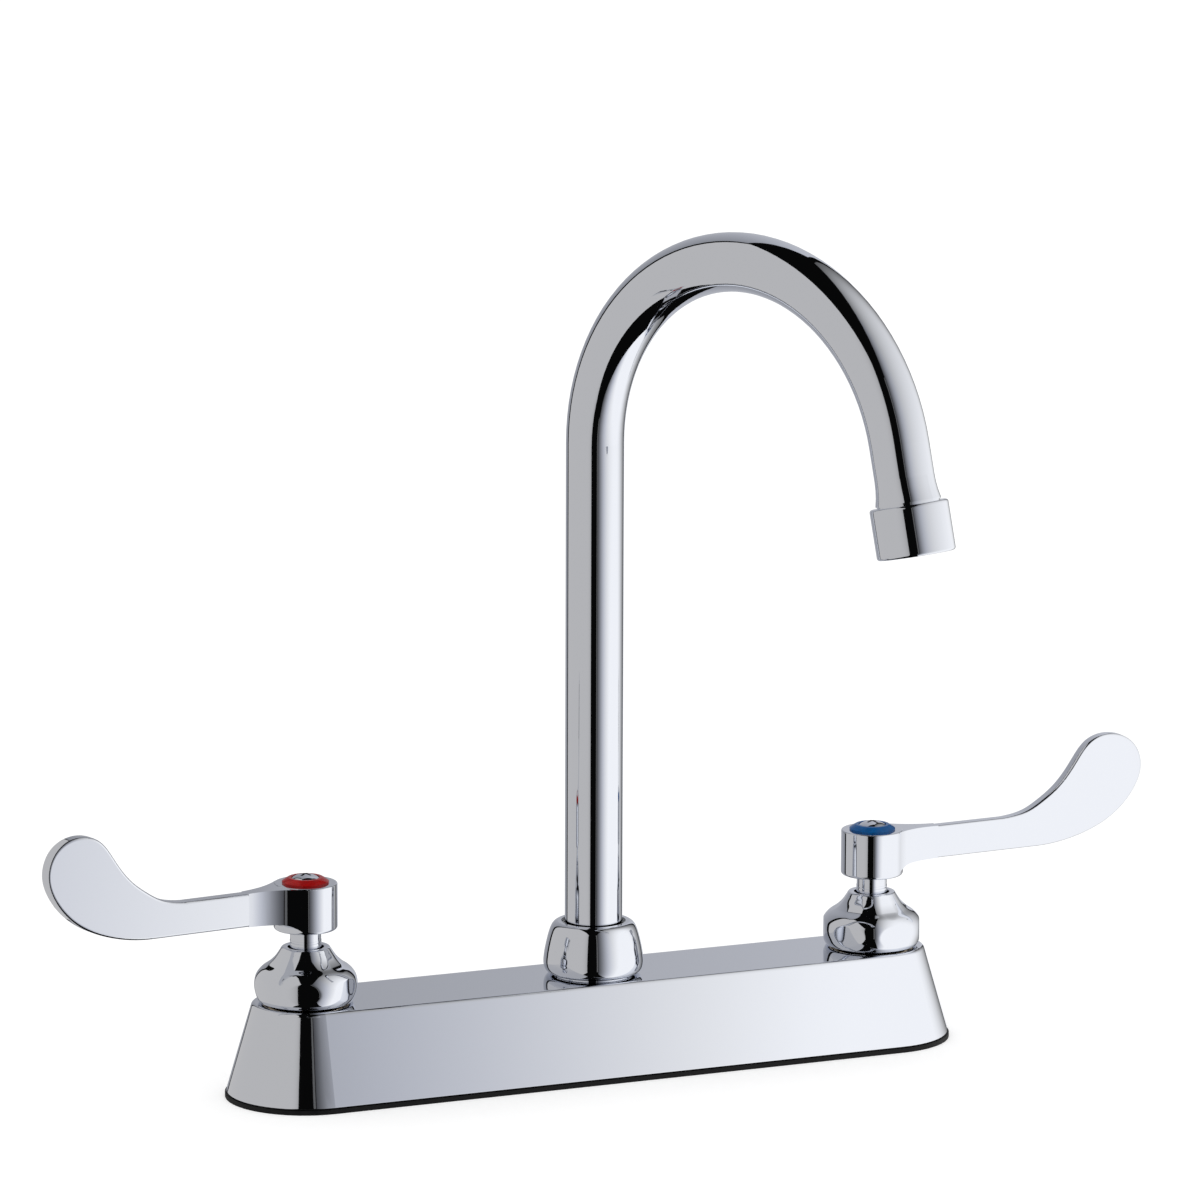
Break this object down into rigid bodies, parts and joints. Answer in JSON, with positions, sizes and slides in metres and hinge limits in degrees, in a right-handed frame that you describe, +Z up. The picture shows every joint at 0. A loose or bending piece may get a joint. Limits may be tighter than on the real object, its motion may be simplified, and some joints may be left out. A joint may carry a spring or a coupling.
{
  "type": "deck-mount gooseneck faucet",
  "caption": "Chrome deck-mount kitchen faucet: hollow deck body, swivelling gooseneck spout with aerator, and two quarter-turn wrist-blade levers with coloured index rings.",
  "frame": {"origin": "centre of the gasket underside, midway between the two valve axes", "axes": "+Z up along the riser tube, +X from the hot valve to the cold valve, -Y towards the user"},
  "size_m": [0.3982, 0.1634, 0.2836],
  "materials": {
    "chrome": "mirror-polished chrome plate on brass",
    "brass": "plain turned brass",
    "black_rubber": "matte moulded rubber",
    "white_ceramic": "lapped alumina",
    "white_nylon": "moulded nylon",
    "spring_steel": "plain stainless steel",
    "red_plastic": "glossy moulded plastic",
    "blue_plastic": "glossy moulded plastic"
  },
  "bodies": {
    "deck": {"cold_bonnet": "chrome", "cold_cartridge_body": "brass", "cold_cartridge_o_ring": "black_rubber", "cold_fixed_disc": "white_ceramic", "cold_lock_nut": "brass", "cold_seat_seal": "black_rubber", "cold_thrust_washer": "white_nylon", "deck_body": "chrome", "deck_gasket": "black_rubber", "hot_bonnet": "chrome", "hot_cartridge_body": "brass", "hot_cartridge_o_ring": "black_rubber", "hot_fixed_disc": "white_ceramic", "hot_lock_nut": "brass", "hot_seat_seal": "black_rubber", "hot_thrust_washer": "white_nylon", "spout_nut": "chrome"},
    "hot_handle": {"hot_moving_disc": "white_ceramic", "hot_stem": "chrome", "hot_stem_o_ring": "black_rubber", "hot_retaining_clip": "spring_steel", "hot_lever": "chrome", "hot_index_ring": "red_plastic", "hot_lever_screw": "chrome"},
    "cold_handle": {"cold_moving_disc": "white_ceramic", "cold_stem": "chrome", "cold_stem_o_ring": "black_rubber", "cold_retaining_clip": "spring_steel", "cold_lever": "chrome", "cold_index_ring": "blue_plastic", "cold_lever_screw": "chrome"},
    "spout": {"aerator_housing": "chrome", "aerator_insert": "white_nylon", "aerator_screen": "spring_steel", "aerator_washer": "black_rubber", "spout_o_rings": "black_rubber", "spout_slip_ring": "white_nylon", "spout_spindle": "brass", "spout_tube": "chrome"}
  },
  "joints": [
    {"name": "hot_valve_turn", "type": "hinge", "parent": "deck", "child": "hot_handle", "pos_m": [-0.1016, 0, 0.05], "axis": [0, 0, 1], "range_deg": [-12.5, 77.5]},
    {"name": "cold_valve_turn", "type": "hinge", "parent": "deck", "child": "cold_handle", "pos_m": [0.1016, 0, 0.05], "axis": [0, 0, 1], "range_deg": [-88, 2]},
    {"name": "spout_swivel", "type": "hinge", "parent": "deck", "child": "spout", "pos_m": [0, 0, 0.037], "axis": [0, 0, 1], "continuous": true}
  ]
}
